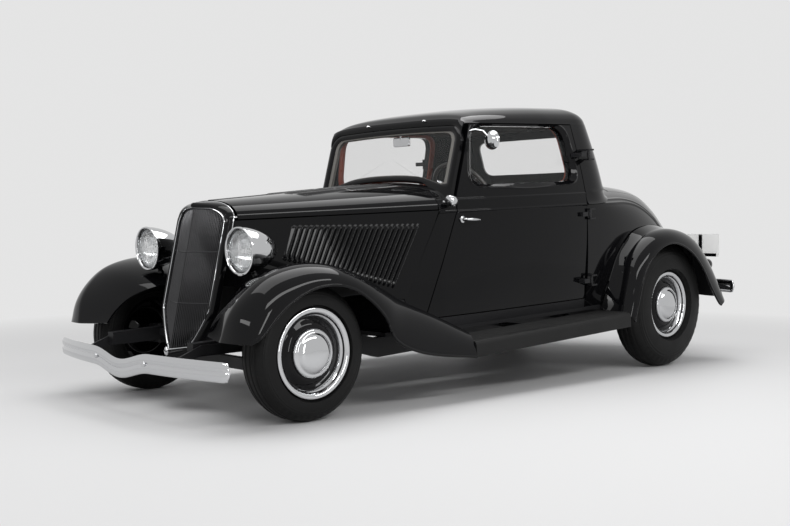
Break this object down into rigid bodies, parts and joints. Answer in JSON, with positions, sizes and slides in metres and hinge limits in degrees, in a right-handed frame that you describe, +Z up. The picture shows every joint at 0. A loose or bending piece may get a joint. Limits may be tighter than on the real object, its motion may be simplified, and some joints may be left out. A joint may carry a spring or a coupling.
{
  "type": "three-window coupe car",
  "caption": "Lowered fendered coupe with a raked pointed grille, louvred hood, opening doors, hood and deck lid, steered front wheels and turning wheels.",
  "frame": {"origin": "on the ground under the middle of the car's length and width", "axes": "+X to the car's left, +Y to the rear, +Z up"},
  "size_m": [1.6568, 4.35, 1.5998],
  "materials": {
    "paint": "gloss",
    "frame_paint": "satin",
    "engine_iron": "cast",
    "bare_steel": "satin",
    "glass": "clear",
    "chrome": "polished",
    "grille_steel": "satin",
    "lamp_metal": "gloss",
    "plate_white": "satin",
    "leather": "soft sheen",
    "garnish": "gloss",
    "steering_plastic": "gloss",
    "board_rubber": "ribbed",
    "tyre": "satin",
    "wheel_paint": "gloss with chrome cap and trim ring"
  },
  "bodies": {
    "body": {"frame_rails": "frame_paint", "front_axle": "frame_paint", "rear_axle": "frame_paint", "leaf_springs": "frame_paint", "engine": "engine_iron", "radiator": "frame_paint", "exhaust": "bare_steel", "fuel_tank": "frame_paint", "floor_pan": "paint", "wheel_houses": "paint", "firewall": "paint", "cowl": "paint", "windshield_frame": "paint", "cab_glass": "glass", "roof_panel": "paint", "cab_back": "paint", "quarter_panels": "paint", "tail_panel": "paint", "front_fenders": "paint", "rear_fenders": "paint", "running_boards": "board_rubber", "hood_sides": "paint", "grille_shell": "paint", "grille_bars": "grille_steel", "front_bumper": "chrome", "rear_bumper": "chrome", "headlamps": "chrome", "headlamp_lenses": "glass", "cowl_lamps": "chrome", "tail_lamps": "lamp_metal", "number_plate": "plate_white", "seat_cushion": "leather", "seat_back": "leather", "dashboard": "garnish", "steering_wheel": "steering_plastic", "panel_hinges": "paint"},
    "knuckle_left": {"knuckle_left": "frame_paint"},
    "knuckle_right": {"knuckle_right": "frame_paint"},
    "tie_rod": {"tie_rod": "bare_steel"},
    "front_wheel_left": {"tyre_front_left": "tyre", "wheel_front_left": "wheel_paint"},
    "front_wheel_right": {"tyre_front_right": "tyre", "wheel_front_right": "wheel_paint"},
    "rear_wheel_left": {"tyre_rear_left": "tyre", "wheel_rear_left": "wheel_paint"},
    "rear_wheel_right": {"tyre_rear_right": "tyre", "wheel_rear_right": "wheel_paint"},
    "door_left": {"door_left": "paint", "door_glass_left": "glass", "door_fittings_left": "chrome"},
    "door_right": {"door_right": "paint", "door_glass_right": "glass", "door_fittings_right": "chrome"},
    "hood_left": {"hood_top_left": "paint"},
    "hood_right": {"hood_top_right": "paint"},
    "deck_lid": {"deck_lid": "paint"}
  },
  "joints": [
    {"name": "steer_left", "type": "hinge", "parent": "body", "child": "knuckle_left", "pos_m": [0.56, -1.615, 0.309], "axis": [0, 0, 1], "range_deg": [-28, 28]},
    {"name": "steer_right", "type": "hinge", "parent": "body", "child": "knuckle_right", "pos_m": [-0.56, -1.615, 0.309], "axis": [0, 0, 1], "range_deg": [-28, 28]},
    {"name": "tie_rod_slide", "type": "slide", "parent": "body", "child": "tie_rod", "axis": [1, 0, 0], "range_m": [-0.065, 0.065]},
    {"name": "spin_front_left", "type": "hinge", "parent": "knuckle_left", "child": "front_wheel_left", "pos_m": [0.672, -1.615, 0.309], "axis": [1, 0, 0], "continuous": true},
    {"name": "spin_front_right", "type": "hinge", "parent": "knuckle_right", "child": "front_wheel_right", "pos_m": [-0.672, -1.615, 0.309], "axis": [1, 0, 0], "continuous": true},
    {"name": "spin_rear_left", "type": "hinge", "parent": "body", "child": "rear_wheel_left", "pos_m": [0.66, 1.23, 0.387], "axis": [1, 0, 0], "continuous": true},
    {"name": "spin_rear_right", "type": "hinge", "parent": "body", "child": "rear_wheel_right", "pos_m": [-0.66, 1.23, 0.387], "axis": [1, 0, 0], "continuous": true},
    {"name": "door_left_swing", "type": "hinge", "parent": "body", "child": "door_left", "pos_m": [0.679, 0.49194, 1.01166], "axis": [0, -0.0523, 0.9986], "range_deg": [0, 65]},
    {"name": "door_right_swing", "type": "hinge", "parent": "body", "child": "door_right", "pos_m": [-0.679, 0.49194, 1.01166], "axis": [0, 0.0523, -0.9986], "range_deg": [0, 65]},
    {"name": "hood_left_lift", "type": "hinge", "parent": "body", "child": "hood_left", "pos_m": [0, -1.16921, 1.04757], "axis": [0, -0.995, -0.0998], "range_deg": [0, 55]},
    {"name": "hood_right_lift", "type": "hinge", "parent": "body", "child": "hood_right", "pos_m": [0, -1.16921, 1.04757], "axis": [0, 0.995, 0.0998], "range_deg": [0, 55]},
    {"name": "deck_lid_lift", "type": "hinge", "parent": "body", "child": "deck_lid", "pos_m": [0, 0.98093, 1.17747], "axis": [1, 0, 0], "range_deg": [0, 50]}
  ],
  "couplings": [
    {"joint": "steer_right", "follows": "steer_left", "ratio": 1},
    {"joint": "tie_rod_slide", "follows": "steer_left", "m_per_rad": -0.124}
  ]
}
